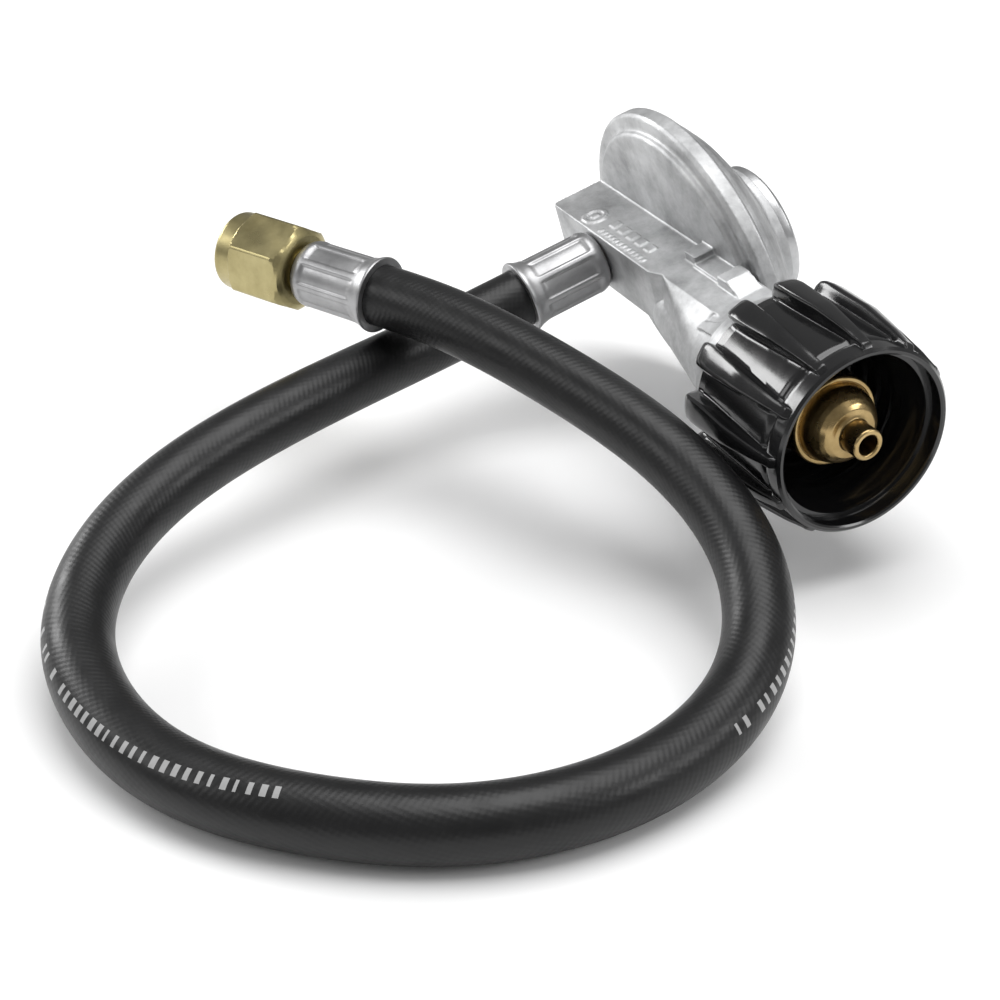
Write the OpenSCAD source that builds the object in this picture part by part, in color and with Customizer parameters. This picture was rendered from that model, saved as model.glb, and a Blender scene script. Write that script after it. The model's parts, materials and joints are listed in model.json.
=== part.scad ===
// Propane regulator with its hose: a screw-on tank coupling, a diaphragm regulator,
// a rubber hose crimped at both ends, and a brass flare swivel nut.
// Millimetres. +X is the coupling's axis, out of its mouth. +Y is towards the spring
// bonnet, +Z is up, and the whole part lies on the plane z = 0.
// The regulator is drawn upright about the point where the coupling's axis and the
// diaphragm's axis cross, then tipped and lifted as it lies by lie().

/* [Regulator] */
// Outer diameter of the diaphragm flange
flange_d = 79.4; // [77:0.2:82]
// Thickness of the flange rim
flange_t = 4.8; // [4.6:0.1:5.4]
// Tip of the whole regulator about the coupling's axis as it lies, in degrees
lie_tilt = 16.5; // [15:0.5:18]
// Diameter of the closing cap on the spring tower
cap_d = 33; // [32:0.5:34]
// Height of the body block along its short side
block_h = 15; // [14.5:0.5:16]

/* [Coupling] */
// Diameter over the ribs of the coupling nut
nut_d = 49; // [48:0.5:50]
// Length of the coupling nut
nut_l = 33; // [32:0.5:34]
// Diameter of the nut's mouth
mouth_d = 38.8; // [38:0.2:39.4]
// Number of ribs round the nut
rib_count = 12; // [8:1:12]
// Diameter of the nipple's nose
nose_d = 7.2; // [6.8:0.2:7.6]

/* [Hose] */
// Outer diameter of the rubber hose
hose_d = 14.3; // [13.5:0.1:14.5]
// Length of each crimped ferrule
ferrule_l = 22; // [21.5:0.5:22.5]
// Outer diameter of a ferrule's barrel
ferrule_d = 15.8; // [15.6:0.1:16.2]
// Sides of the hose tube
hose_sides = 12; // [8:1:12]

/* [Flare nut] */
// Width across the flats of the flare nut
flare_af = 19; // [18.5:0.5:19.5]
// Length of the flare nut
flare_l = 20.5; // [20:0.5:21.5]

/* [Hidden] */
$fn = 96;
eps = 0.01;

// regulator, along the diaphragm's axis (local y)
rim_y = 10.5;                      // front of the flange rim
plateau_y = 8.7;                   // front of the raised round plateau
plateau_r = 35.5;
clamp_y = 12.2;                    // the body's face under the diaphragm's bead
bead_t = 1.2;
clamp_r = 37.6;                    // outside of the bead and of the bonnet's flange
bonnet_y = clamp_y + bead_t;       // underside of the bonnet's flange
bonnet_flange_t = 1.6;
chamber_r = 31;                    // low-pressure chamber
tower_r = 17;
tower_y = 30.6;                    // top of the tower
cap_y = 33.6;                      // top of the closing cap
rim_edge = 0.8;                    // chamfer of the rim
// coupling axis above the floor
axis_h = flange_d / 2 * cos(lie_tilt) - (rim_y + rim_edge) * sin(lie_tilt);

// body block, in the regulator's own frame
block_x0 = -33;
block_front = -5.4;                // outlet side face
step_front = -3.9;                 // side face beside the coupling
block_z0 = -2;
block_z1 = block_z0 + block_h;
out_x = -12.5;                     // outlet axis
out_z = 5.5;

// valve, beside the diaphragm's centre
valve_y = 5.5;
valve_z = 5;
valve_r = 4.2;
pivot_x = 18;                      // lever's pin, under the valve
pivot_y = 0.2;
pin_r = 1.2;
lever_t = 1.2;
lever_z = 3.2;                     // lever's arms lie between these heights
lever_w = 3.6;
tongue_y = 9.3;                    // lever's tongue in the stem's slot
stem_r = 2.2;

// coupling, along local x
mouth_x = 88.5;
nut_x0 = mouth_x - nut_l;
shank_r = 7.5;
collar_x1 = nut_x0 - 0.6;
neck_x = 66.1;                     // back face of the nipple's flange
nose_r = nose_d / 2;

// hose
hose_r = hose_d / 2;
bore_r = 4.1;
crimp_r = 6.9;                     // hose squeezed inside a ferrule
barrel_r = ferrule_d / 2;
lip_r = barrel_r + 1;
tail_gap = 0.3;                    // ferrule's shoulder to the casting
out_front = block_front - tail_gap;
lip_y = out_front - ferrule_l;     // hose end of the outlet ferrule

// where the part's own origin is: under the middle of the rigid pieces
nose_x = mouth_x + 1.6;
shift_x = (flange_d / 2 - nose_x) / 2;
shift_y = -((cap_y * cos(lie_tilt) + (cap_d / 2 - 1) * sin(lie_tilt))
            + (lip_y * cos(lie_tilt) - (out_z + lip_r) * sin(lie_tilt))) / 2;

// free hose from one ferrule's lip to the other's, in the part's frame before the shift:
// straight out of the outlet, down to the floor, round, and up over itself
knot = 26;                         // spacing of the route's points at its two ends
out_dir = [0, -cos(lie_tilt), -sin(lie_tilt)];
out_lip = [out_x, lip_y * cos(lie_tilt) - out_z * sin(lie_tilt),
           axis_h + lip_y * sin(lie_tilt) + out_z * cos(lie_tilt)];
route = [
    [4, -87.5, 27], [13, -120, 22.5], [27.5, -144.5, 17], [51, -160, 11],
    [79, -159.5, 7.2], [102.5, -150, 7.2], [120.5, -131, 7.2], [132, -112.5, 7.2],
    [136.5, -90, 7.2], [132.5, -66, 7.2], [121, -44, 11.5], [99, -31, 20],
    [73, -31.5, 29], [46, -40.5, 35.5]
];
end_lip = [-7.5, -66.5, 42.5];     // lip of the far ferrule
end_run = [-20, -11, 0.5];           // from that lip towards the flare nut
end_dir = end_run / norm(end_run);
guide_points = concat(
    [out_lip - out_dir * knot, out_lip, out_lip + out_dir * knot],
    route,
    [end_lip - end_run, end_lip, end_lip + end_run]
);
rings_per_span = 4;

// ---- placing ----

// tips the upright regulator as it lies and moves it to the part's frame
module lie() {
    translate([shift_x, shift_y, axis_h])
        rotate([lie_tilt, 0, 0])
            children();
}

// local z becomes the coupling's axis
module along_x(x = 0, y = 0, z = 0) {
    translate([x, y, z])
        rotate([0, 90, 0])
            children();
}

// local z becomes the diaphragm's axis
module along_y(y = 0, x = 0, z = 0) {
    translate([x, y, z])
        rotate([-90, 0, 0])
            children();
}

// local z runs from the far ferrule's lip towards the flare nut's mouth
module far_end() {
    heading = atan2(end_dir[1], end_dir[0]);
    drop = acos(end_dir[2]);
    translate([shift_x, shift_y, 0])
        translate(end_lip)
            rotate([0, drop, heading])
                children();
}

// local z runs from the outlet ferrule's lip towards the casting
module outlet_end() {
    lie()
        along_y(lip_y, out_x, out_z)
            children();
}

module ring(r_out, r_in, h) {
    rotate_extrude()
        translate([r_in, 0])
            square([r_out - r_in, h]);
}

// ---- regulator ----

module body_block() {
    // seen from the front: the outlet pad, a slanted facet, then the side beside the coupling
    plan = [
        [block_x0, plateau_y + 1], [block_x0, block_front + 1], [block_x0 + 1, block_front],
        [14.5, block_front], [18.2, step_front], [46, step_front], [46, plateau_y + 1]
    ];
    // the underside slopes back to the plateau
    side = [
        [block_front, block_z1], [block_front, block_z0],
        [plateau_y + 1, block_z0 - 11], [plateau_y + 1, block_z1]
    ];
    intersection() {
        translate([0, 0, block_z0 - 12])
            linear_extrude(block_h + 12)
                polygon(plan);
        translate([block_x0 - 1, 0, 0])
            rotate([90, 0, 90])
                linear_extrude(100)
                    polygon(side);
    }
}

module inlet_boss() {
    foot = 14;
    flare_x = 18.6;
    along_x(foot)
        rotate_extrude()
            polygon([
                [0, 0], [6.7, 0], [13.9, 31], [14.6, 34.2], [16.2, 34.6], [16.2, 35.6],
                [15.8, 35.9], [17, 36.1], [17, 37.1], [16.6, 37.4], [17.8, 37.6], [17.8, 38.6],
                [17.4, 38.9], [18.6, 39.2], [18.6, collar_x1 - foot - 0.5],
                [18.1, collar_x1 - foot], [0, collar_x1 - foot]
            ]);
    // the side beside the coupling runs down into the cone
    hull() {
        translate([flare_x, step_front, block_z1 - 1])
            cube([22, 5, 1]);
        along_x(flare_x)
            cylinder(r1 = 6.4, r2 = 12.9, h = 22);
    }
}

module flange_dish() {
    along_y(0)
        rotate_extrude()
            polygon([
                [0, plateau_y], [plateau_r - 0.6, plateau_y], [plateau_r, plateau_y + 0.6],
                [plateau_r + 0.3, rim_y - 0.3], [plateau_r + 0.9, rim_y],
                [flange_d / 2 - rim_edge, rim_y], [flange_d / 2, rim_y + rim_edge],
                [flange_d / 2, rim_y + flange_t - rim_edge],
                [flange_d / 2 - rim_edge, rim_y + flange_t],
                [clamp_r - 0.9, rim_y + flange_t],
                [clamp_r - 0.9, bonnet_y + bonnet_flange_t],
                [clamp_r, bonnet_y + bonnet_flange_t], [clamp_r, clamp_y],
                [chamber_r, clamp_y], [chamber_r - 1, plateau_y + 2.3], [0, plateau_y + 2.3]
            ]);
}

module casting_lugs() {
    top = block_z1 - 1;
    // two cast stops on the top face, the second with a sloping end, joined by a low step
    translate([16.9, 3.5, top])
        cube([4.7, 6, 3.2]);
    translate([0, 9, 0])
        rotate([90, 0, 0])
            linear_extrude(6.4)
                polygon([[32.4, top], [32.4, top + 3.4], [36.4, top + 3.4], [42, top + 0.6], [42, top]]);
    translate([21.5, 3, top])
        cube([11, 6, 1.7]);
    // small wedge that runs up to the collar
    polyhedron(
        [[32, -6.8, 8], [48.8, -5.9, 15.2], [48.8, -9.6, 13.2], [48.8, -6, 11]],
        [[0, 1, 2], [0, 2, 3], [0, 3, 1], [1, 3, 2]]
    );
    // boss round the outlet
    along_y(block_front - 0.1, out_x, out_z)
        cylinder(r = 7.2, h = 6);
}

module lever_pocket() {
    translate([-7, 5, -3.5])
        cube([16.4, 8, 11.5]);
    translate([5.8, pivot_y - 2.8, lever_z - 0.8])
        cube([15.2, 9, lever_w + 1.6]);
}

module body_casting() {
    color("silver")
        lie()
            difference() {
                union() {
                    flange_dish();
                    body_block();
                    inlet_boss();
                    casting_lugs();
                }
                lever_pocket();
                // valve bore, from the lever pocket to the inlet chamber
                along_x(9, valve_y, valve_z)
                    cylinder(r = valve_r, h = 21);
                along_x(30, valve_y, valve_z)
                    cylinder(r = 3.2, h = 8);
                // inlet chamber and the nipple's seat
                along_x(34.5)
                    cylinder(r = 6.2, h = 6);
                translate([34.5, 0, 0])
                    cube([3.5, 6, valve_z]);
                along_x(40)
                    cylinder(r = shank_r, h = 20);
                // outlet passage: barb seat, then up into the low-pressure chamber
                along_y(block_front - 1, out_x, out_z)
                    cylinder(r = 5, h = 9);
                along_y(block_front + 7, out_x, out_z)
                    cylinder(r = 3.6, h = 14);
                // lever pin
                translate([pivot_x, pivot_y, -5])
                    cylinder(r = pin_r, h = 16.5);
            }
}

// bonnet's outer outline, from the flange to the tower
bonnet_outline = [
    [clamp_r - 0.1, bonnet_y], [clamp_r - 0.1, bonnet_y + bonnet_flange_t],
    [36.4, bonnet_y + bonnet_flange_t], [36.2, 16.4], [35, 18.6], [32.4, 20.8],
    [28.4, 23.2], [23.4, 25.6], [19.6, 27], [tower_r + 0.8, 27.6], [tower_r, 28.4],
    [tower_r, tower_y], [13.6, tower_y]
];
// and its inside, back down again
bonnet_inside = [[13.6, 25.6], [20, 24.4], [26, 21.4], [30.2, 18], [31.8, 15.4], [31.8, bonnet_y]];

module bonnet() {
    color("silver")
        lie()
            difference() {
                along_y(0)
                    rotate_extrude()
                        polygon(concat(bonnet_outline, bonnet_inside));
                // vent, through the low side of the cone
                translate([0, 17.6, -40])
                    cylinder(r = 2.2, h = 14);
            }
}

module vent_screen() {
    color("dimgray")
        lie()
            translate([0, 17.6, -33.6])
                cylinder(r = 2.15, h = 0.8);
}

module closing_cap() {
    color("lightgray")
        lie()
            along_y(0)
                rotate_extrude()
                    polygon([
                        [0, cap_y], [cap_d / 2 - 1, cap_y], [cap_d / 2, cap_y - 1],
                        [cap_d / 2, tower_y], [13.2, tower_y],
                        [13.2, tower_y - 1.2], [11.6, tower_y - 1.2], [11.6, tower_y + 0.8],
                        [0, tower_y + 0.8]
                    ]);
}

module adjusting_disc() {
    color("gold")
        lie()
            difference() {
                along_y(26.6)
                    cylinder(r = 13.52, h = 2.4);
                // hexagonal key hole
                along_y(26)
                    cylinder(r = 4.2, h = 4, $fn = 6);
            }
}

// a round-wire compression spring about z, as one closed tube
module wire_spring(coil_r, wire_r, height, turns, steps, sides) {
    count = turns * steps;
    pitch = (height - 2 * wire_r) / turns;
    points = [for (i = [0 : count]) let (a = 360 * i / steps) for (j = [0 : sides - 1])
        let (b = 360 * j / sides, r = coil_r + wire_r * cos(b))
            [r * cos(a), r * sin(a), wire_r + pitch * i / steps + wire_r * sin(b)]];
    walls = [for (i = [0 : count - 1]) for (j = [0 : sides - 1])
        let (n = (j + 1) % sides)
            [i * sides + j, i * sides + n, (i + 1) * sides + n, (i + 1) * sides + j]];
    ends = [[for (j = [sides - 1 : -1 : 0]) j], [for (j = [0 : sides - 1]) count * sides + j]];
    polyhedron(points, concat(walls, ends), convexity = 10);
}

module main_spring() {
    color("gray")
        lie()
            along_y(15.4)
                wire_spring(9.6, 1.1, 10.9, 3, 20, 8);
}

module diaphragm() {
    color("black")
        lie()
            along_y(clamp_y)
                difference() {
                    rotate_extrude()
                        polygon([
                            [0, 0.6], [25, 0.6], [26, 1.2], [28.4, 1.2], [29.4, 0], [clamp_r - 0.2, 0],
                            [clamp_r - 0.2, bead_t], [30.2, bead_t], [29.2, 2.2], [25.6, 2.2],
                            [24.6, 1.6], [0, 1.6]
                        ]);
                    cylinder(r = stem_r + 0.05, h = 9, center = true);
                }
}

module diaphragm_plate() {
    color("lightsteelblue")
        lie()
            along_y(clamp_y + 1.9)
                rotate_extrude()
                    polygon([
                        [stem_r + 0.05, 0], [23.4, 0], [24, 0.3], [24, 2.2], [23.2, 2.2], [23.2, 1],
                        [stem_r + 0.05, 1]
                    ]);
}

// stem with a slotted foot that the lever's tongue sits in
module stem() {
    color("khaki")
        lie()
            difference() {
                along_y(7.2)
                    union() {
                        cylinder(r = stem_r, h = 16);
                        cylinder(r = 3, h = 4.8);
                    }
                translate([-4, tongue_y - 0.6, -1.9])
                    cube([8, lever_t + 1.2, 3.8]);
            }
}

module relief_spring() {
    color("gray")
        lie()
            along_y(clamp_y + 3)
                wire_spring(3.7, 0.5, 4.6, 4, 12, 6);
}

module stem_nut() {
    color("khaki")
        lie()
            along_y(clamp_y + 7.8)
                difference() {
                    cylinder(r = 4.6, h = 2, $fn = 6);
                    translate([0, 0, -1])
                        cylinder(r = stem_r, h = 4);
                }
}

module lever() {
    color("khaki")
        lie()
            difference() {
                union() {
                    // hub on the pin, and the short arm up into the valve
                    translate([pivot_x, pivot_y, lever_z])
                        cylinder(r = 2.2, h = lever_w);
                    translate([pivot_x - 1, pivot_y, lever_z])
                        cube([2, valve_y - pivot_y + 1, lever_w]);
                    // long arm: back under the valve, up behind it, and over to the stem
                    translate([6.8, pivot_y - 0.8, lever_z])
                        cube([pivot_x - 8, lever_t, lever_w]);
                    translate([6.8, pivot_y - 0.8, lever_z])
                        cube([lever_t, tongue_y + lever_t - pivot_y + 0.8, lever_w]);
                    translate([4.4, tongue_y, -1.4])
                        cube([2.4 + lever_t, lever_t, lever_z + lever_w + 1.4]);
                    translate([-2.6, tongue_y, -1.4])
                        cube([7.4, lever_t, 2.8]);
                }
                translate([pivot_x, pivot_y, 0])
                    cylinder(r = pin_r + 0.05, h = 10);
            }
}

module lever_pin() {
    color("gray")
        lie()
            translate([pivot_x, pivot_y, -4.8])
                cylinder(r = pin_r, h = 16);
}

module valve_holder() {
    color("khaki")
        lie()
            difference() {
                along_x(12, valve_y, valve_z)
                    cylinder(r = valve_r - 0.05, h = 14.6);
                // pocket for the lever's short arm and its hub
                translate([pivot_x - 1.6, valve_y - 5, lever_z - 0.5])
                    cube([3.2, 6.6, lever_w + 1]);
                translate([pivot_x, pivot_y, lever_z - 0.5])
                    cylinder(r = 3, h = lever_w + 1);
                // cup for the rubber pad
                along_x(24.8, valve_y, valve_z)
                    cylinder(r = 3, h = 3);
            }
}

module valve_pad() {
    color("black")
        lie()
            along_x(24.8, valve_y, valve_z)
                cylinder(r = 3, h = 2.75);
}

module orifice() {
    color("goldenrod")
        lie()
            along_x(28, valve_y, valve_z)
                difference() {
                    union() {
                        translate([0, 0, 2])
                            cylinder(r = 3.2, h = 4.4);
                        cylinder(r = 2.2, h = 3);
                        translate([0, 0, 0.8])
                            cylinder(r = valve_r, h = 1.2);
                    }
                    translate([0, 0, -1])
                        cylinder(r = 1, h = 9);
                }
}

// ---- tank coupling ----

module inlet_nipple() {
    color("goldenrod")
        lie()
            along_x(0)
                difference() {
                    rotate_extrude()
                        polygon([
                            [0, 41], [shank_r, 41], [shank_r, neck_x], [9.9, neck_x],
                            [10.3, neck_x + 0.4], [10.3, 77.9], [10, 78.3], [9.2, 78.3],
                            [9, 78], [8.8, 78.6], [8.6, 80], [8, 82], [7, 83.8], [6.2, 84.4],
                            [nose_r + 0.5, 84.4], [nose_r, 84.9], [nose_r, nose_x - 0.4],
                            [nose_r - 0.4, nose_x], [0, nose_x]
                        ]);
                    translate([0, 0, 40])
                        cylinder(r = 5, h = 28);
                    translate([0, 0, 67.9])
                        cylinder(r = 4, h = 13.1);
                    translate([0, 0, 80])
                        cylinder(r = 2.3, h = 12);
                }
}

// the poppet's cone points back along the flow, and closes on the seat when gas rushes
module flow_poppet() {
    color("goldenrod")
        lie()
            along_x(0)
                rotate_extrude()
                    polygon([
                        [0, 67.4], [0.8, 67.4], [0.8, 71.6], [1.2, 71.6], [1.9, 74.3], [3, 74.3],
                        [3, 77.6], [2.2, 78.4], [0, 78.4]
                    ]);
}

module poppet_spring() {
    color("gray")
        lie()
            along_x(70.6)
                wire_spring(2.6, 0.3, 3.4, 3, 12, 6);
}

module flow_seat() {
    color("goldenrod")
        lie()
            along_x(68)
                ring(4, 1.7, 2.5);
}

module thermal_bushing() {
    color("darkred")
        lie()
            along_x(nut_x0 + 0.8)
                difference() {
                    union() {
                        cylinder(r = 9.1, h = 5.6);
                        translate([0, 0, 5.5])
                            cylinder(r = 12, h = 1.5);
                    }
                    translate([0, 0, -1])
                        cylinder(r = shank_r + 0.08, h = 10);
                }
}

// one rib: wide at the back, narrowing and falling away towards the mouth
module nut_rib() {
    base_r = 20.4;
    intersection() {
        translate([base_r - 1, 0, 0])
            rotate([0, 90, 0])
                linear_extrude(8)
                    polygon([[0, -2.7], [-8, -2.6], [-31.6, -1.3], [-31.6, 1.3], [-8, 2.6], [0, 2.7]]);
        rotate([90, 0, 0])
            translate([0, 0, -5])
                linear_extrude(10)
                    polygon([
                        [base_r - 1, 0], [nut_d / 2 - 1.4, 0], [nut_d / 2 - 0.4, 1.6],
                        [nut_d / 2, 4], [nut_d / 2, 16], [22.2, 31.4], [base_r - 1, 31.4]
                    ]);
    }
}

module coupling_nut() {
    color("black")
        lie()
            along_x(nut_x0)
                difference() {
                    union() {
                        rotate_extrude()
                            polygon([
                                [0, 0], [19.4, 0], [20.4, 1], [20.4, 3], [20.9, 3.4], [20.9, 27],
                                [20.4, 27.4], [20.4, nut_l - 5], [21.1, nut_l - 4.4],
                                [21.1, nut_l - 0.6], [20.5, nut_l], [0, nut_l]
                            ]);
                        for (i = [0 : rib_count - 1])
                            rotate([0, 0, (i + 0.5) * 360 / rib_count])
                                nut_rib();
                    }
                    translate([0, 0, -1])
                        cylinder(r = 9.2, h = 12);
                    translate([0, 0, 5.6])
                        cylinder(r = 16.6, h = nut_l);
                    // thread, as rings
                    for (i = [0 : 2])
                        translate([0, 0, 9 + 4.8 * i])
                            ring(17.6, 16, 2.2);
                    translate([0, 0, nut_l - 5])
                        cylinder(r = mouth_d / 2 - 1.2, h = 6);
                    translate([0, 0, nut_l - 3.6])
                        cylinder(r = mouth_d / 2, h = 5);
                }
}

// ---- outlet, hose and flare end ----

// crimped ferrule about z, its hose end at z = 0 and its shoulder at z = ferrule_l
module ferrule(neck_r) {
    difference() {
        rotate_extrude()
            polygon([
                [hose_r + 0.15, 0], [lip_r - 0.2, 0], [lip_r, 0.3], [lip_r - 0.1, 0.8],
                [barrel_r + 0.3, 3], [barrel_r, 4.6], [barrel_r, ferrule_l - 2.6],
                [barrel_r - 0.5, ferrule_l - 1], [barrel_r - 1.6, ferrule_l],
                [neck_r, ferrule_l], [neck_r, ferrule_l - 1.4], [crimp_r, ferrule_l - 1.4],
                [crimp_r, 3], [hose_r + 0.15, 1.8]
            ]);
        // crimp flats
        for (i = [0 : 7])
            rotate([0, 0, i * 45 + 22.5])
                translate([barrel_r - 0.45, -1.9, 5.2])
                    cube([3, 3.8, ferrule_l - 9.2]);
    }
}

// hose inside a ferrule, between its lip and its shoulder
module squeezed_hose() {
    rotate_extrude()
        polygon([
            [bore_r, 0], [hose_r, 0], [hose_r, 1.4], [crimp_r, 3], [crimp_r, ferrule_l - 1.6],
            [bore_r, ferrule_l - 1.6]
        ]);
}

// outline of a barbed tail about z, its tip at z = 1.5 inside the hose
barb_tail = [
    [2.9, 1.5], [3.5, 1.5], [bore_r, 3.5], [3.7, 4.4], [bore_r, 7.5], [3.7, 8.4],
    [bore_r, 11.5], [3.7, 12.4], [bore_r, 15.5]
];

module outlet_barb() {
    color("goldenrod")
        outlet_end()
            rotate_extrude()
                polygon(concat(barb_tail, [
                    [bore_r, ferrule_l], [5, ferrule_l], [5, ferrule_l + 6.4],
                    [2.9, ferrule_l + 6.4]
                ]));
}

module outlet_ferrule() {
    color("silver")
        outlet_end()
            ferrule(bore_r);
}

module outlet_hose_end() {
    color([0.08, 0.08, 0.08])
        outlet_end()
            squeezed_hose();
}

// a smooth curve near the guide points: one blended point per span and fraction
function blend(p, i, u) =
    (pow(1 - u, 3) * p[i] + (3 * pow(u, 3) - 6 * u * u + 4) * p[i + 1]
     + (-3 * pow(u, 3) + 3 * u * u + 3 * u + 1) * p[i + 2] + pow(u, 3) * p[i + 3]) / 6;
spans = len(guide_points) - 3;
centre_line = [
    for (i = [0 : spans - 1]) for (k = [0 : rings_per_span - 1])
        blend(guide_points, i, k / rings_per_span),
    blend(guide_points, spans - 1, 1)
];

function unit(v) = v / norm(v);
function heading_at(p, i) =
    i == 0 ? out_dir
    : i == len(p) - 1 ? end_dir
    : unit(p[i + 1] - p[i - 1]);
// side direction of a ring: level, and square to the hose
function side_at(t) = unit(cross([0, 0, 1], t));

module hose() {
    last = len(centre_line) - 1;
    points = [for (i = [0 : last])
        let (t = heading_at(centre_line, i), s = side_at(t), v = cross(t, s))
            for (j = [0 : hose_sides - 1])
                let (a = 360 * j / hose_sides)
                    centre_line[i] + hose_r * (cos(a) * s + sin(a) * v)];
    walls = [for (i = [0 : last - 1]) for (j = [0 : hose_sides - 1])
        let (n = (j + 1) % hose_sides, a = i * hose_sides, b = a + hose_sides)
            each [[a + j, b + n, a + n], [a + j, b + j, b + n]]];
    ends = [[for (j = [0 : hose_sides - 1]) j],
            [for (j = [hose_sides - 1 : -1 : 0]) last * hose_sides + j]];
    color([0.08, 0.08, 0.08])
        translate([shift_x, shift_y, 0])
            polyhedron(points, concat(walls, ends), convexity = 10);
}

module far_hose_end() {
    color([0.08, 0.08, 0.08])
        far_end()
            squeezed_hose();
}

module far_ferrule() {
    color("silver")
        far_end()
            ferrule(bore_r);
}

// barbed insert whose flared nose the swivel nut pulls up
module flare_insert() {
    color("goldenrod")
        far_end()
            rotate_extrude()
                polygon(concat(barb_tail, [
                    [bore_r, ferrule_l], [5.4, ferrule_l], [5.4, ferrule_l + 7.2],
                    [7, ferrule_l + 8.2], [7, ferrule_l + 9.8], [4.6, ferrule_l + 12.4],
                    [3.4, ferrule_l + 12.4], [2.9, ferrule_l + 12]
                ]));
}

module flare_nut() {
    hex_r = flare_af / 2 / cos(30);
    front = flare_l - 4.8;
    thread_z = 12.4;
    color("goldenrod")
        far_end()
            translate([0, 0, ferrule_l + 0.8])
                difference() {
                    union() {
                        intersection() {
                            cylinder(r = hex_r, h = front, $fn = 6);
                            rotate_extrude()
                                polygon([
                                    [0, 0], [8.3, 0], [hex_r + 0.1, 2.8], [hex_r + 0.1, front - 1],
                                    [hex_r - 1, front], [0, front]
                                ]);
                        }
                        translate([0, 0, front - eps])
                            rotate_extrude()
                                polygon([
                                    [0, 0], [9.4, 0], [9.4, 4], [8.9, 4.8 + eps], [0, 4.8 + eps]
                                ]);
                    }
                    translate([0, 0, -1])
                        cylinder(r = 5.48, h = 10);
                    translate([0, 0, 4])
                        cylinder(r = 7.4, h = flare_l);
                    translate([0, 0, thread_z])
                        cylinder(r = 7.65, h = flare_l);
                    translate([0, 0, flare_l - 0.9])
                        cylinder(r1 = 7.65, r2 = 8.55, h = 1);
                }
}

body_casting();
bonnet();
closing_cap();
adjusting_disc();
main_spring();
diaphragm();
diaphragm_plate();
stem();
relief_spring();
stem_nut();
lever();
lever_pin();
valve_holder();
valve_pad();
orifice();
vent_screen();
inlet_nipple();
coupling_nut();
thermal_bushing();
flow_poppet();
poppet_spring();
flow_seat();
outlet_barb();
outlet_ferrule();
outlet_hose_end();
hose();
far_hose_end();
far_ferrule();
flare_insert();
flare_nut();
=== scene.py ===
import json
import math

import bpy
import bmesh
from mathutils import Matrix, Vector


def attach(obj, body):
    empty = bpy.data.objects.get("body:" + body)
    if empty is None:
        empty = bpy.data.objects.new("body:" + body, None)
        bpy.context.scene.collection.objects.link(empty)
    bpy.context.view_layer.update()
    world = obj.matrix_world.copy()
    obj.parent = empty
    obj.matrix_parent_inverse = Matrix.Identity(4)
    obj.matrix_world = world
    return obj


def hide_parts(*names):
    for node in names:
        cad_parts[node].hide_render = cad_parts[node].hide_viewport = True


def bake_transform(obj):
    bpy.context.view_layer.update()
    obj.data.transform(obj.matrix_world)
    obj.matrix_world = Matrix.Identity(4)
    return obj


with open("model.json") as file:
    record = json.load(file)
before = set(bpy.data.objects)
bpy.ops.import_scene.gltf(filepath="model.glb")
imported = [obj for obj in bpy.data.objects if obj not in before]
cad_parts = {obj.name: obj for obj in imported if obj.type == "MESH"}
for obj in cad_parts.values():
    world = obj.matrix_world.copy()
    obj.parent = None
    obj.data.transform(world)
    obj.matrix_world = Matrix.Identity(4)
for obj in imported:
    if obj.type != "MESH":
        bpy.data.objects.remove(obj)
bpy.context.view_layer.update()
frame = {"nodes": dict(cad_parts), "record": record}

NODES = frame["nodes"]

FULL_TURN = 2 * math.pi
Z_AXIS = Vector((0, 0, 1))

# ---- the part's frame, in millimetres until a point is placed ----

MM = 0.001
MM_PER_M = 1000
TILT = math.radians(16.5)
SHIFT_X = -25.2
SHIFT_Y = -2.9847
AXIS_H = 34.8558
OUT_X, OUT_Z = -12.5, 5.5
LIP_Y = -27.7
FERRULE_L = 22.0
HOSE_R = 7.15
NUT_X0 = 55.5
NOSE_X = 90.1
BLOCK_TOP = 13.0


def lie(x, y, z):
    """Upright regulator point to the part's frame, in metres."""
    c, s = math.cos(TILT), math.sin(TILT)
    return Vector((x + SHIFT_X, y * c - z * s + SHIFT_Y, y * s + z * c + AXIS_H)) * MM


END_LIP = Vector((-7.5 + SHIFT_X, -66.5 + SHIFT_Y, 42.5))
END_RUN = Vector((-20, -11, 0.5))
END_DIR = END_RUN.normalized()
END_U = Z_AXIS.cross(END_DIR).normalized()
END_V = END_DIR.cross(END_U)


def about_x(r, along, angle):
    """A point about the coupling's axis."""
    return lie(along, r * math.cos(angle), r * math.sin(angle))


def about_y(r, along, angle):
    """A point about the diaphragm's axis."""
    return lie(r * math.cos(angle), along, -r * math.sin(angle))


def about_outlet(r, along, angle):
    """A point about the outlet, measured from the ferrule's lip."""
    return lie(OUT_X + r * math.cos(angle), LIP_Y + along, OUT_Z - r * math.sin(angle))


def about_end(r, along, angle):
    """A point about the far fitting, measured from its ferrule's lip."""
    side = END_U * (r * math.cos(angle)) + END_V * (r * math.sin(angle))
    return (END_LIP + END_DIR * along + side) * MM


# ---- camera ----

LENS = 68.4
SENSOR_WIDTH = 36
NEAR_CLIP = 0.01
LOOK = Vector((-0.774, 0.3827, -0.5045)).normalized()
RIGHT = LOOK.cross(Z_AXIS).normalized()
UP = RIGHT.cross(LOOK)
EYE = Vector((363.1 + SHIFT_X, -219.4 + SHIFT_Y, 221.8)) * MM

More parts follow.
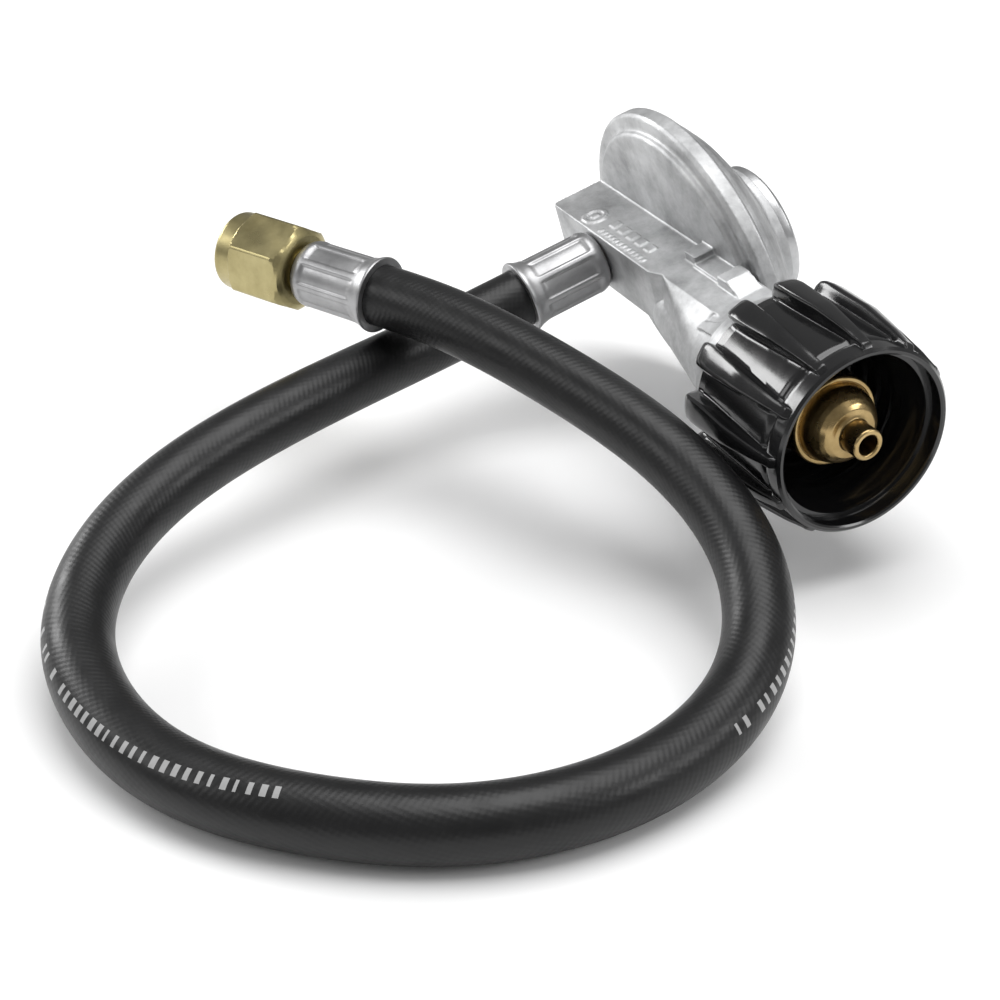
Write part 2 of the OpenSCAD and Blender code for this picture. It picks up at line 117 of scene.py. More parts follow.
cam_data = bpy.data.cameras.new("camera")
cam_data.sensor_width = SENSOR_WIDTH
cam_data.lens = LENS
cam_data.clip_start = NEAR_CLIP
cam = bpy.data.objects.new("camera", cam_data)
bpy.context.scene.collection.objects.link(cam)
cam.matrix_world = Matrix.Translation(EYE) @ Matrix((RIGHT, UP, -LOOK)).transposed().to_4x4()
bpy.context.scene.camera = cam


# ---- mesh helpers ----

WELD = 1e-6
ON_AXIS = 1e-6
SMALLEST_ROUND = 0.02
ROUND_SHARE = 0.33


def smooth(u):
    """Eases from 0 to 1 as u goes from 0 to 1."""
    u = max(0.0, min(1.0, u))
    return u * u * (3 - 2 * u)


def angles_round(count, offset=0.0):
    """Angles of count equal steps round a circle."""
    return [FULL_TURN * (j + offset) / count for j in range(count)]


def new_object(name, mesh):
    piece = bpy.data.objects.new(name, mesh)
    bpy.context.scene.collection.objects.link(piece)
    return piece


def object_from(bm, name):
    mesh = bpy.data.meshes.new(name)
    bm.to_mesh(mesh)
    bm.free()
    return new_object(name, mesh)


def shade(piece, sharp_deg):
    """Smooth shading, with edges sharper than sharp_deg kept."""
    piece.data.shade_smooth()
    piece.data.set_sharp_from_angle(angle=math.radians(sharp_deg))
    return piece


def skin(name, rings, sharp_deg):
    """Quads between rings of points, the last ring joined to the first."""
    bm = bmesh.new()
    rows = [[bm.verts.new(p) for p in ring] for ring in rings]
    for a, b in zip(rows, rows[1:] + rows[:1]):
        n = len(a)
        for j in range(n):
            k = (j + 1) % n
            bm.faces.new((a[j], a[k], b[k], b[j]))
    bmesh.ops.remove_doubles(bm, verts=bm.verts, dist=WELD)
    bmesh.ops.dissolve_degenerate(bm, edges=bm.edges, dist=WELD)
    bmesh.ops.recalc_face_normals(bm, faces=bm.faces)
    return shade(object_from(bm, name), sharp_deg)


def soften(profile, radius, steps=3):
    """Rounds each corner of a closed outline, by at most a third of its shorter side.

    A point is (radius, along), or (radius, along, its own rounding)."""
    out = []
    n = len(profile)
    for i, here in enumerate(profile):
        p = Vector(here[:2])
        back = Vector(profile[i - 1][:2]) - p
        ahead = Vector(profile[(i + 1) % n][:2]) - p
        wanted = here[2] if len(here) > 2 else radius
        cut = min(wanted, back.length * ROUND_SHARE, ahead.length * ROUND_SHARE)
        if p.x < ON_AXIS or cut < SMALLEST_ROUND:
            out.append((p.x, p.y))
            continue
        a = p + back.normalized() * cut
        b = p + ahead.normalized() * cut
        for k in range(steps + 1):
            u = k / steps
            q = a * (1 - u) ** 2 + p * (2 * u * (1 - u)) + b * u * u
            out.append((q.x, q.y))
    return out


def lathe(name, profile, place, radius, segments=216):
    """Turns a closed outline of (radius, along) points; place puts each point."""
    angles = angles_round(segments)
    rings = [[place(max(r, 0), along, a) for a in angles] for r, along in soften(profile, radius)]
    return skin(name, rings, sharp_deg=30)


# ---- the hose ----

HOSE_SIDES = 64
GUIDE_STEP = 26.0
SPAN_STEPS = 16
OUT_DIR = Vector((0, -math.cos(TILT), -math.sin(TILT)))
OUT_LIP = lie(OUT_X, LIP_Y, OUT_Z) / MM
# spline guide points from the outlet's ferrule to the far one, before the part's shift
ROUTE = [
    (4, -87.5, 27), (13, -120, 22.5), (27.5, -144.5, 17), (51, -160, 11),
    (79, -159.5, 7.2), (102.5, -150, 7.2), (120.5, -131, 7.2), (132, -112.5, 7.2),
    (136.5, -90, 7.2), (132.5, -66, 7.2), (121, -44, 11.5), (99, -31, 20),
    (73, -31.5, 29), (46, -40.5, 35.5),
]
GUIDE = [OUT_LIP - OUT_DIR * GUIDE_STEP, OUT_LIP, OUT_LIP + OUT_DIR * GUIDE_STEP]
GUIDE += [Vector((x + SHIFT_X, y + SHIFT_Y, z)) for x, y, z in ROUTE]
GUIDE += [END_LIP - END_RUN, END_LIP, END_LIP + END_RUN]


def spline_point(span, u):
    """A point of the uniform cubic B-spline that follows the guide, in millimetres."""
    weights = ((1 - u) ** 3, 3 * u ** 3 - 6 * u * u + 4,
               -3 * u ** 3 + 3 * u * u + 3 * u + 1, u ** 3)
    parts = (GUIDE[span + k] * weight for k, weight in enumerate(weights))
    return sum(parts, Vector((0, 0, 0))) / 6


SPANS = len(GUIDE) - 3
CENTRE = [spline_point(i, k / SPAN_STEPS) * MM for i in range(SPANS) for k in range(SPAN_STEPS)]
CENTRE.append(spline_point(SPANS - 1, 1) * MM)
RUN = [0.0]
for before, after in zip(CENTRE, CENTRE[1:]):
    RUN.append(RUN[-1] + (after - before).length)
HOSE_LENGTH = RUN[-1]


def heading(i):
    """The hose's direction at a point of its centre line."""
    if i == 0:
        return OUT_DIR
    if i == len(CENTRE) - 1:
        return END_DIR
    return (CENTRE[i + 1] - CENTRE[i - 1]).normalized()


def hose_mesh():
    bm = bmesh.new()
    uv = bm.loops.layers.uv.new("along")
    rows = []
    for i, p in enumerate(CENTRE):
        side = Z_AXIS.cross(heading(i)).normalized()
        up = heading(i).cross(side)
        rows.append([bm.verts.new(p + (side * math.cos(a) + up * math.sin(a)) * HOSE_R * MM)
                     for a in angles_round(HOSE_SIDES)])
    for i in range(len(rows) - 1):
        for j in range(HOSE_SIDES):
            k = (j + 1) % HOSE_SIDES
            face = bm.faces.new((rows[i][j], rows[i][k], rows[i + 1][k], rows[i + 1][j]))
            v0, v1 = j / HOSE_SIDES, (j + 1) / HOSE_SIDES
            spots = ((i, v0), (i, v1), (i + 1, v1), (i + 1, v0))
            for loop, (row, v) in zip(face.loops, spots):
                loop[uv].uv = (RUN[row] / HOSE_LENGTH, v)
    bm.faces.new(list(reversed(rows[0])))
    bm.faces.new(rows[-1])
    bm.normal_update()
    return shade(object_from(bm, "hose_tube"), sharp_deg=50)


hose = hose_mesh()
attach(hose, "regulator")
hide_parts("hose")


# ---- crimped ferrules: eight pressed flats with raised ribs between them ----

def ferrule(name, place):
    barrel, bore, lip_bore = 7.9, 6.9, HOSE_R + 0.05
    neck, wall_middle, step = 4.3, 7.3, 0.5
    flats, flat_depth, flat_half = 8, 0.5, 0.37
    flat_start, flat_end = 3.5, 19.0
    outline = [
        (lip_bore, 0.0), (8.75, 0.0), (8.9, 0.25), (8.85, 0.7), (8.6, 1.3), (8.3, 2.0),
        (8.1, 2.8), (7.95, 3.8), (barrel, 5.0), (barrel, 7.0), (barrel, 9.0), (barrel, 11.0),
        (barrel, 13.0), (barrel, 15.0), (barrel, 16.8), (barrel, 18.0), (barrel, 19.0),
        (7.8, 19.8), (7.55, 20.6), (7.1, 21.3), (6.5, 21.8), (5.6, FERRULE_L),
        (neck, FERRULE_L), (neck, 20.7), (bore, 20.7), (bore, 3.0), (lip_bore, 1.8),
    ]
    fine = []
    for (r0, z0), (r1, z1) in zip(outline, outline[1:] + outline[:1]):
        n = max(1, int(abs(z1 - z0) / step))
        fine += [(r0 + (r1 - r0) * k / n, z0 + (z1 - z0) * k / n) for k in range(n)]

    def pressed(r, z, a):
        """Presses the barrel in between its ribs; the bore and both ends stay round."""
        if r < wall_middle or z < 3.4 or z > 19.2:
            return r
        from_middle = (a / FULL_TURN * flats) % 1.0 - 0.5
        across = abs(from_middle) / flat_half
        ends = min(smooth((z - flat_start) / 1.2), smooth((flat_end - z) / 1.0))
        flat = smooth((1.1 - across) / 0.22)
        return r - flat_depth * flat * ends

    angles = angles_round(192)
    rings = [[place(pressed(r, z, a), z, a) for a in angles] for r, z in fine]
    piece = skin(name, rings, sharp_deg=50)
    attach(piece, "regulator")
    return piece


near_ferrule = ferrule("crimp_ferrule_near", about_outlet)
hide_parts("outlet_ferrule")
far_ferrule = ferrule("crimp_ferrule_far", about_end)
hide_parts("far_ferrule")


# ---- flare nut ----

def flare_nut():
    half_flats = 9.5
    sixth = math.radians(60)
    half_sixth = math.radians(30)
    # the hexagon's corners are broken a little
    corner_r = half_flats / math.cos(half_sixth) - 0.18
    back = FERRULE_L + 0.8
    front = back + 15.7
    outline = [
        (5.48, back), (8.3, back), (9.3, back + 0.5), (10.3, back + 1.5), (11.1, back + 2.8),
        (11.2, back + 3.4), (11.2, back + 6), (11.2, back + 9), (11.2, back + 12),
        (11.2, front - 1.6), (10.9, front - 1.0), (10.2, front - 0.4), (9.42, front),
        (9.35, front + 0.3), (9.35, front + 3.8), (9.15, front + 4.4), (8.7, front + 4.8),
        (8.5, front + 4.8), (7.7, front + 3.8), (7.65, back + 12.5), (7.4, back + 12.3),
        (7.4, back + 4.1), (7.3, back + 4.0), (5.48, back + 4.0),
    ]

    def hexed(r, z, a):
        """Cuts the outside to a hexagon; the front collar and the bores stay round."""
        if z > front + 0.01 or r < 7.6:
            return r
        from_flat = (a + half_sixth) % sixth - half_sixth
        return min(r, half_flats / math.cos(from_flat), corner_r)

    angles = angles_round(288, offset=0.5)
    rings = [[about_end(hexed(r, z, a), z, a) for a in angles] for r, z in soften(outline, 0.2, 2)]
    piece = skin("flare_swivel_nut", rings, sharp_deg=18)
    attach(piece, "swivel_nut")
    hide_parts("flare_nut")
    return piece


flare = flare_nut()
[tuple(p) for p in CENTRE]


# ---- nipple ----

nipple = lathe(
    "brass_nipple",
    [
        (5.0, 41, 0.1), (7.5, 41), (7.5, 66.1, 0.1), (10.0, 66.1), (10.3, 66.5), (10.3, 77.8),
        (10.0, 78.3), (9.2, 78.3), (9.0, 78.0), (8.85, 78.5), (8.75, 79.4), (8.45, 80.6),
        (8.0, 81.7), (7.35, 82.8), (6.55, 83.7), (5.6, 84.35), (4.5, 84.5, 0.15),
        (3.75, 84.75), (3.6, 85.2), (3.6, NOSE_X - 0.4), (3.25, NOSE_X), (2.55, NOSE_X),
        (2.3, NOSE_X - 0.3), (2.3, 81.0), (4.0, 81.0), (4.0, 68.0), (5.0, 68.0, 0.1),
    ],
    about_x, radius=0.2, segments=144,
)
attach(nipple, "regulator")
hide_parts("inlet_nipple")


# ---- coupling nut ----

def along_line(knots, x):
    """The value at x of a line through (x, value) knots."""
    for (x0, v0), (x1, v1) in zip(knots, knots[1:]):
        if x <= x1:
            return v0 + (v1 - v0) * (x - x0) / (x1 - x0)
    return knots[-1][1]


def nut_outside(ribs):
    """Rings over the outside from back to mouth, and the angles of the last ring."""
    half_pitch = math.pi / ribs
    # along the nut: radius between the ribs, radius over them, half width of a rib
    base_line = [(0, 19.5), (0.5, 20.2), (3.0, 20.4), (3.5, 20.85), (26.6, 20.75), (27.4, 20.3),
                 (28.0, 20.3), (28.6, 21.0), (29.2, 21.1), (32.4, 21.1), (33, 20.5)]
    top_line = [(0, 22.6), (0.8, 23.6), (2.2, 24.2), (4.5, 24.45), (16, 24.4), (25, 23.2),
                (29.6, 22.25), (30.9, 22.1), (31.2, 21.9), (31.8, 21.1), (33, 20.4)]
    width_line = [(0, 1.9), (1.2, 2.35), (4, 2.6), (8, 2.5), (28, 1.25), (31, 1.2), (33, 0.9)]
    stations = [0, 0.25, 0.5, 0.8, 1.2, 1.7, 2.2, 2.7, 3.0, 3.12, 3.25, 3.38, 3.5, 4.5, 6, 8,
                10, 12, 14, 16, 18, 20, 22, 24, 25.5, 26.6, 26.9, 27.15, 27.4, 28.0, 28.3, 28.6,
                28.9, 29.2, 29.6, 30.1, 30.6, 30.9, 31.2, 31.8, 32.4, 32.6, 32.8, 33]
    # across half a rib: share of its half width, share of its height
    flank_line = [(0.0, 1.0), (0.4, 1.0), (0.68, 0.99), (0.84, 0.96), (0.93, 0.88),
                  (0.98, 0.72), (1.01, 0.5), (1.04, 0.26), (1.08, 0.1), (1.14, 0.03), (1.22, 0.0)]
    foot = flank_line[-1][0]
    rings = []
    for x in stations:
        base, top, width = (along_line(line, x) for line in (base_line, top_line, width_line))
        rise = max(top - base, 0.0)
        reach = width * foot / base
        flank = [(t * width / base, h) for t, h in flank_line]
        flank += [(reach + (half_pitch - reach) * k / 4, 0.0) for k in (1, 2, 3)]
        pitch = [(-a, h) for a, h in reversed(flank)] + flank[1:] + [(half_pitch, 0.0)]
        spots = [((i + 0.5) * 2 * half_pitch + a, h) for i in range(ribs) for a, h in pitch]
        rings.append([about_x(base + rise * h, NUT_X0 + x, a) for a, h in spots])
    return rings, [a for a, h in spots]


def nut_inside():
    """(radius, along) from the mouth back to the bore, with faint thread rings."""
    thread_pitch = 4.8
    inner = [(19.9, 33), (19.5, 32.7), (19.4, 32.2), (19.4, 29.6), (19.3, 29.4), (18.3, 29.3),
             (18.2, 29.1), (18.2, 28.0), (18.0, 26), (17.4, 24.6), (17.3, 22.4)]
    z = 22.0
    while z > 9.0:
        inner += [(17.25, z - 0.4), (16.85, z - 1.2), (16.75, z - 1.6), (16.75, z - 2.0),
                  (16.85, z - 2.4), (17.25, z - 3.2), (17.3, z - 3.6), (17.3, z - 4.4)]
        z -= thread_pitch
    inner += [(16.8, 6.4), (16.6, 6.0), (16.2, 5.6), (9.6, 5.6), (9.3, 5.3), (9.2, 4.9),
              (9.2, 0.3), (9.5, 0.0), (14, 0.0), (19.2, 0.0)]
    return inner


def coupling_nut():
    rings, angles = nut_outside(ribs=12)
    rings += [[about_x(r, NUT_X0 + x, a) for a in angles] for r, x in nut_inside()]
    piece = skin("coupling_handnut", rings, sharp_deg=32)
    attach(piece, "nut")
    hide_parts("coupling_nut")
    return piece


handnut = coupling_nut()


# ---- bonnet and cap ----

bonnet = lathe(
    "bonnet_shell",
    [
        (37.5, 13.4, 0.1), (37.5, 15.0, 0.1), (36.4, 15.0), (36.2, 16.3), (35.4, 17.8),
        (34.8, 18.5, 0.1), (34.2, 18.7, 0.1), (32.2, 20.5), (31.4, 21.0, 0.1), (30.7, 21.2, 0.1),
        (28.2, 22.8), (24.4, 24.6, 0.1), (23.8, 25.2, 0.1), (20.6, 26.4), (18.6, 27.0),
        (17.5, 27.7), (17.05, 28.7), (17.0, 30.6),
        (13.6, 30.6, 0.1), (13.6, 25.6), (20, 24.4), (26, 21.4), (30.2, 18), (31.8, 15.4),
        (31.8, 13.4),
    ],
    about_y, radius=0.35,
)
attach(bonnet, "regulator")
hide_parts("bonnet")

cap = lathe(
    "closing_cover",
    [
        (0, 33.3), (11.8, 33.3), (12.2, 33.45), (12.6, 33.6), (15.4, 33.6, 0.5), (16.5, 32.7, 0.4),
        (16.5, 30.6, 0.1), (13.2, 30.6, 0.1), (13.2, 29.4, 0.1), (11.6, 29.4, 0.1),
        (11.6, 31.4, 0.1), (0, 31.4),
    ],
    about_y, radius=0.3,
)
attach(cap, "regulator")
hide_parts("closing_cap")


# ---- body casting: the CAD solid with cast, rounded edges and its raised marks ----

MARK_ROOT = BLOCK_TOP - 0.6
VOXEL_SIZE = 0.0003
BOX_SIDES = ((0, 2, 3, 1), (4, 5, 7, 6), (0, 1, 5, 4), (2, 6, 7, 3), (0, 4, 6, 2), (1, 3, 7, 5))


def raised_mark(bm, x_range, y_range, height):
    """A plain box on the block's top face, added to bm."""
    corners = [lie(x, y, z) for z in (MARK_ROOT, BLOCK_TOP + height)
               for y in y_range for x in x_range]
    v = [bm.verts.new(p) for p in corners]
    for side in BOX_SIDES:
        bm.faces.new([v[i] for i in side])


def raised_marks(bm):
    """A ring with a plain middle, a row of pads and a row of small bars."""
    ring_x, ring_y, ring_r, ring_half, ring_parts = -18.2, -1.2, 2.7, 0.45, 20
    for a in angles_round(ring_parts):
        x, y = ring_x + ring_r * math.cos(a), ring_y + ring_r * math.sin(a)
        raised_mark(bm, (x - ring_half, x + ring_half), (y - ring_half, y + ring_half), 0.4)
    raised_mark(bm, (ring_x - 0.6, ring_x + 0.6), (ring_y - 1.0, ring_y + 1.0), 0.35)
    row_x = -11.4
    for k in range(5):
        x = row_x + 4.1 * k
        raised_mark(bm, (x, x + 2.4), (-0.9, 1.5), 0.36)
    for k in range(12):
        x = row_x + 1.83 * k
        raised_mark(bm, (x, x + 0.95), (-4.2, -3.0), 0.3)


def casting():
    bm = bmesh.new()
    bm.from_mesh(NODES["body_casting"].data)
    raised_marks(bm)
    piece = object_from(bm, "cast_body")
    remesh = piece.modifiers.new("cast", "REMESH")
    remesh.mode = "VOXEL"
    remesh.voxel_size = VOXEL_SIZE
    remesh.use_smooth_shade = True
    soft = piece.modifiers.new("soften", "SMOOTH")
    soft.factor = 0.5
    soft.iterations = 1
    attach(piece, "regulator")
    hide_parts("body_casting")
    return piece


cast_body = casting()

collar = lathe(
    "collar_rings",
    [
        (14.4, 48.3, 0.1), (16.1, 48.5), (16.28, 48.8), (16.28, 49.55), (15.85, 49.85),
        (17.08, 50.05), (17.08, 51.05), (16.65, 51.35), (17.88, 51.55), (17.88, 52.55),
        (17.45, 52.85), (18.68, 53.15), (18.68, 54.4), (18.15, 54.85), (14.4, 54.85, 0.1),
    ],
    about_x, radius=0.18,
)
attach(collar, "regulator")


# ---- inner pieces that flex in the real part, copied here as plain meshes with their placement baked in ----


def copy_of(node, name):
    piece = new_object(name, NODES[node].data.copy())
    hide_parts(node)
    return piece


main_coil = copy_of("main_spring", "main_coil")
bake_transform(main_coil)
poppet_coil = copy_of("poppet_spring", "poppet_coil")
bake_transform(poppet_coil)
membrane = copy_of("diaphragm", "rubber_membrane")
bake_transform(membrane)


# ---- material helpers ----

def material(name, colour, rough, metallic=0.0):
    mat = bpy.data.materials.new(name)
    mat.use_nodes = True
    tree = mat.node_tree
    shader = tree.nodes["Principled BSDF"]
    shader.inputs["Base Color"].default_value = (*colour, 1)
    shader.inputs["Roughness"].default_value = rough
    shader.inputs["Metallic"].default_value = metallic
    return mat, tree, shader


def ramp(tree, source, low, high, a, b):
    """Maps source from low..high to a..b, held at the ends."""
    item = tree.nodes.new("ShaderNodeMapRange")
    for key, value in (("From Min", low), ("From Max", high), ("To Min", a), ("To Max", b)):
        item.inputs[key].default_value = value
    tree.links.new(source, item.inputs["Value"])
    return item.outputs["Result"]


def object_noise(tree, scale, detail=3.0, rough=0.6, stretch=None):
    place = tree.nodes.new("ShaderNodeTexCoord")
    noise = tree.nodes.new("ShaderNodeTexNoise")
    noise.inputs["Scale"].default_value = scale
    noise.inputs["Detail"].default_value = detail
    noise.inputs["Roughness"].default_value = rough
    source = place.outputs["Object"]
    if stretch:
        mapping = tree.nodes.new("ShaderNodeMapping")
        mapping.inputs["Scale"].default_value = stretch
        tree.links.new(source, mapping.inputs["Vector"])
        source = mapping.outputs["Vector"]
    tree.links.new(source, noise.inputs["Vector"])
    return noise.outputs["Fac"]


def mix_colour(tree, factor, a, b):
    """Mixes two colours; each is given as three numbers or as a socket."""
    mix = tree.nodes.new("ShaderNodeMix")
    mix.data_type = "RGBA"
    for key, colour in (("A", a), ("B", b)):
        if isinstance(colour, tuple):
            mix.inputs[key].default_value = (*colour, 1)
        else:
            tree.links.new(colour, mix.inputs[key])
    tree.links.new(factor, mix.inputs["Factor"])
    return mix.outputs["Result"]


def bump(tree, shader, height, strength, distance):
    item = tree.nodes.new("ShaderNodeBump")
    item.inputs["Strength"].default_value = strength
    item.inputs["Distance"].default_value = distance
    tree.links.new(height, item.inputs["Height"])
    tree.links.new(item.outputs["Normal"], shader.inputs["Normal"])


def uneven_gloss(tree, shader, source, window, rough_range):
    """Roughness that follows source, from one end of rough_range to the other."""
    tree.links.new(ramp(tree, source, *window, *rough_range), shader.inputs["Roughness"])


# ---- materials ----

def metal(name, dark, light, rough, rough_range, grain, grain_depth, stretch=None,
          cloud_scale=90.0, cloud_window=(0.35, 0.7)):
    """A metal with cloudy colour, uneven gloss and a fine grain."""
    mat, tree, shader = material(name, light, rough, metallic=1.0)
    cloud = object_noise(tree, cloud_scale, detail=6.0, rough=0.68)
    shade_of = ramp(tree, cloud, *cloud_window, 0.0, 1.0)
    tree.links.new(mix_colour(tree, shade_of, dark, light), shader.inputs["Base Color"])
    gloss = object_noise(tree, scale=160.0, detail=3.0, rough=0.5)
    uneven_gloss(tree, shader, gloss, (0.3, 0.7), rough_range)
    fine = object_noise(tree, grain, stretch=stretch)
    bump(tree, shader, fine, strength=0.35, distance=grain_depth)
    return mat


CASTING = metal("cast_zinc", dark=(0.34, 0.343, 0.347), light=(0.60, 0.605, 0.61), rough=0.55,
                rough_range=(0.48, 0.62), grain=900.0, grain_depth=0.00016,
                cloud_scale=55.0, cloud_window=(0.36, 0.62))
CAP = metal("cap_metal", dark=(0.42, 0.424, 0.43), light=(0.62, 0.625, 0.63), rough=0.35,
            rough_range=(0.26, 0.44), grain=700.0, grain_depth=0.00008, stretch=(1, 0.15, 1))
FERRULE = metal("plated_steel", dark=(0.33, 0.33, 0.335), light=(0.46, 0.46, 0.465), rough=0.42,
                rough_range=(0.34, 0.48), grain=1200.0, grain_depth=0.00005)
BRASS = metal("turned_brass", dark=(0.30, 0.21, 0.09), light=(0.52, 0.38, 0.18), rough=0.26,
              rough_range=(0.2, 0.34), grain=800.0, grain_depth=0.00005)
FLARE_BRASS = metal("dull_brass", dark=(0.34, 0.29, 0.14), light=(0.48, 0.42, 0.22), rough=0.34,
                    rough_range=(0.27, 0.42), grain=900.0, grain_depth=0.00005)
SPRING = metal("plain_steel", dark=(0.4, 0.4, 0.41), light=(0.52, 0.52, 0.53), rough=0.35,
               rough_range=(0.28, 0.4), grain=900.0, grain_depth=0.00003)


def black_plastic():
    mat, tree, shader = material("moulded_black_plastic", (0.006, 0.006, 0.0065), 0.16)
    shader.inputs["Specular IOR Level"].default_value = 0.55
    shader.inputs["Coat Weight"].default_value = 0.25
    shader.inputs["Coat Roughness"].default_value = 0.12
    haze = object_noise(tree, scale=120.0, detail=4.0, rough=0.6)
    uneven_gloss(tree, shader, haze, (0.3, 0.75), (0.12, 0.24))
    fine = object_noise(tree, scale=500.0, detail=2.0, rough=0.5)
    bump(tree, shader, fine, strength=0.12, distance=0.00008)
    return mat


HOSE_ROUND = FULL_TURN * HOSE_R
RIDGE_PITCH, CROSS_PITCH = 1.35, 1.1
PRINT_PITCH = 2.35
PRINT_HALF_HEIGHT = 1.15
PRINT_STRENGTH = 0.85
PRINT_COLOUR = (0.42, 0.42, 0.42)
# printed stretches: millimetres along the hose from and to, turn about it at each end
PRINTED = ((112.0, 223.0, 0.50, 0.32), (305.0, 352.0, 0.41, 0.485))


def calculator(tree):
    """A function that adds a math node to tree; its values are numbers or sockets."""
    def calc(operation, *values):
        item = tree.nodes.new("ShaderNodeMath")
        item.operation = operation
        for socket, value in zip(item.inputs, values):
            if isinstance(value, (int, float)):
                socket.default_value = value
            else:
                tree.links.new(value, socket)
        return item.outputs["Value"]
    return calc


def wrap_ridges(calc, along, around):
    """Two families of fine diagonal ridges, left by the wrap the hose was cured in."""
    lean = calc("ADD", calc("MULTIPLY", along, 1.0), calc("MULTIPLY", around, 0.55))
    cross = calc("ADD", calc("MULTIPLY", along, 0.35), calc("MULTIPLY", around, -0.9))
    ridge = calc("SINE", calc("MULTIPLY", lean, FULL_TURN / RIDGE_PITCH))
    cross_ridge = calc("SINE", calc("MULTIPLY", cross, FULL_TURN / CROSS_PITCH))
    return calc("ADD", ridge, calc("MULTIPLY", cross_ridge, 0.5))


def printed_line(tree, calc, along, turn):
    """1 inside the printed line's plain dashes of several lengths, 0 elsewhere."""
    step = calc("MULTIPLY", along, 1 / PRINT_PITCH)
    pick = tree.nodes.new("ShaderNodeTexWhiteNoise")
    pick.noise_dimensions = "1D"
    tree.links.new(calc("FLOOR", step), pick.inputs["W"])
    length = calc("ADD", calc("MULTIPLY", pick.outputs["Value"], 0.4), 0.2)
    dash = calc("LESS_THAN", calc("FRACT", step), length)
    keep = calc("GREATER_THAN", pick.outputs["Value"], 0.14)

    def stretch_of_line(start, end, from_turn, to_turn):
        # the line creeps round the hose, which lies a little twisted
        side = ramp(tree, along, start, end, from_turn, to_turn)
        offset = calc("MULTIPLY", calc("ABSOLUTE", calc("SUBTRACT", turn, side)), HOSE_ROUND)
        tall = calc("LESS_THAN", offset, PRINT_HALF_HEIGHT)
        within = calc("MULTIPLY", calc("GREATER_THAN", along, start),
                      calc("LESS_THAN", along, end))
        return calc("MULTIPLY", tall, within)

    shown = calc("ADD", *[stretch_of_line(*stretch) for stretch in PRINTED])
    return calc("MULTIPLY", calc("MULTIPLY", dash, keep), shown)


def rubber_hose():
    mat, tree, shader = material("hose_rubber", (0.005, 0.005, 0.0053), 0.42)
    shader.inputs["Specular IOR Level"].default_value = 0.42
    uv = tree.nodes.new("ShaderNodeUVMap")
    uv.uv_map = "along"
    split = tree.nodes.new("ShaderNodeSeparateXYZ")
    tree.links.new(uv.outputs["UV"], split.inputs["Vector"])
    calc = calculator(tree)
    turn = split.outputs["Y"]
    along = calc("MULTIPLY", split.outputs["X"], HOSE_LENGTH * MM_PER_M)
    around = calc("MULTIPLY", turn, HOSE_ROUND)

    cloud = object_noise(tree, scale=140.0)
    fade = ramp(tree, cloud, 0.35, 0.65, 0.35, 1.0)
    ridges = calc("MULTIPLY", wrap_ridges(calc, along, around), fade)
    grain = calc("MULTIPLY", object_noise(tree, scale=1800.0, detail=2.0, rough=0.5), 1.2)
    bump(tree, shader, calc("ADD", ridges, grain), strength=0.22, distance=0.00006)

    ink = calc("MULTIPLY", printed_line(tree, calc, along, turn), PRINT_STRENGTH)
    rubber = mix_colour(tree, cloud, (0.0028, 0.0028, 0.003), (0.0055, 0.0055, 0.006))
    tree.links.new(mix_colour(tree, ink, rubber, PRINT_COLOUR), shader.inputs["Base Color"])
    uneven_gloss(tree, shader, cloud, (0.3, 0.7), (0.34, 0.46))
    return mat


def plain(name, colour, rough):
    mat, tree, shader = material(name, colour, rough)
    cloud = object_noise(tree, scale=200.0)
    uneven_gloss(tree, shader, cloud, (0.3, 0.7), (rough - 0.06, rough + 0.06))
    bump(tree, shader, object_noise(tree, scale=900.0), strength=0.2, distance=0.00005)
    return mat


PLASTIC = black_plastic()
RUBBER = rubber_hose()
INNER_RUBBER = plain("moulded_rubber", (0.014, 0.014, 0.014), 0.6)
BUSHING = plain("bushing_plastic", (0.012, 0.011, 0.011), 0.4)


def dress(piece, mat):
    piece.data.materials.clear()
    piece.data.materials.append(mat)


for piece, mat in (
    (hose, RUBBER), (near_ferrule, FERRULE), (far_ferrule, FERRULE), (flare, FLARE_BRASS),
    (nipple, BRASS), (handnut, PLASTIC), (bonnet, CASTING), (cap, CAP), (cast_body, CASTING),
    (collar, CASTING), (main_coil, SPRING), (poppet_coil, SPRING), (membrane, INNER_RUBBER),
):
    dress(piece, mat)

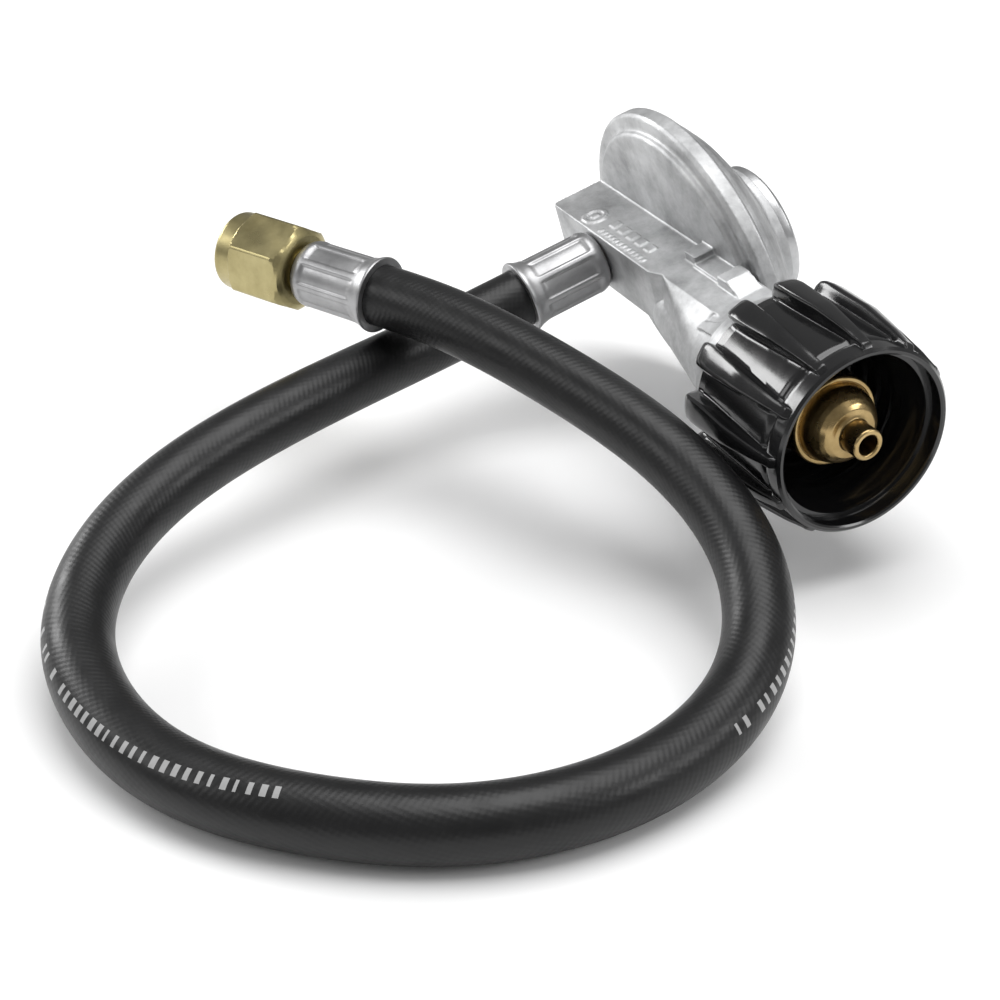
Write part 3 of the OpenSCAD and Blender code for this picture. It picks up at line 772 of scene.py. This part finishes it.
# the CAD pieces that stay, by their slot
BY_SLOT = {
    "casting": CASTING, "cap": CAP, "nut": PLASTIC, "nipple": BRASS, "flare": FLARE_BRASS,
    "ferrule": FERRULE, "hose": INNER_RUBBER, "rubber_inner": INNER_RUBBER, "bushing": BUSHING,
    "inner_brass": BRASS, "spring": SPRING,
}
for part in frame["record"]["subparts"]:
    for slot in NODES[part["node"]].material_slots:
        slot.material = BY_SLOT[part["material_slot"]]


# ---- studio ----

FLOOR_HALF = 6.0
FLOOR_Z = -0.0002
WORLD_STRENGTH = 0.3


def floor():
    bm = bmesh.new()
    for x, y in ((-1, -1), (1, -1), (1, 1), (-1, 1)):
        bm.verts.new((x * FLOOR_HALF, y * FLOOR_HALF, FLOOR_Z))
    bm.faces.new(bm.verts)
    piece = object_from(bm, "floor")
    paper, _, shader = material("floor_paper", (0.93, 0.93, 0.93), 0.9)
    shader.inputs["Specular IOR Level"].default_value = 0.0
    dress(piece, paper)


def softbox(name, place, aim, size, power):
    data = bpy.data.lights.new(name, "AREA")
    data.shape = "RECTANGLE"
    data.size, data.size_y = size
    data.energy = power
    lamp = bpy.data.objects.new(name, data)
    bpy.context.scene.collection.objects.link(lamp)
    lamp.location = place
    lamp.rotation_euler = (Vector(aim) - Vector(place)).to_track_quat("-Z", "Y").to_euler()


floor()
softbox("over", place=(0.05, 0.15, 1.3), aim=(0, -0.05, 0), size=(1.1, 1.1), power=15)
softbox("left", place=(-0.3, -1.3, 0.9), aim=(0.0, -0.05, 0.03), size=(0.9, 0.5), power=4)
softbox("front", place=(-0.93, -0.6, 0.46), aim=(0.02, 0, 0.035), size=(0.5, 0.35), power=5.5)
softbox("right", place=(0.9, 0.9, 0.8), aim=(0.05, 0, 0.03), size=(0.7, 0.35), power=5)

world = bpy.data.worlds.new("studio")
bpy.context.scene.world = world
world.use_nodes = True
backdrop = world.node_tree.nodes["Background"]
backdrop.inputs["Color"].default_value = (1, 1, 1, 1)
backdrop.inputs["Strength"].default_value = WORLD_STRENGTH
bpy.context.scene.view_settings.view_transform = "Standard"
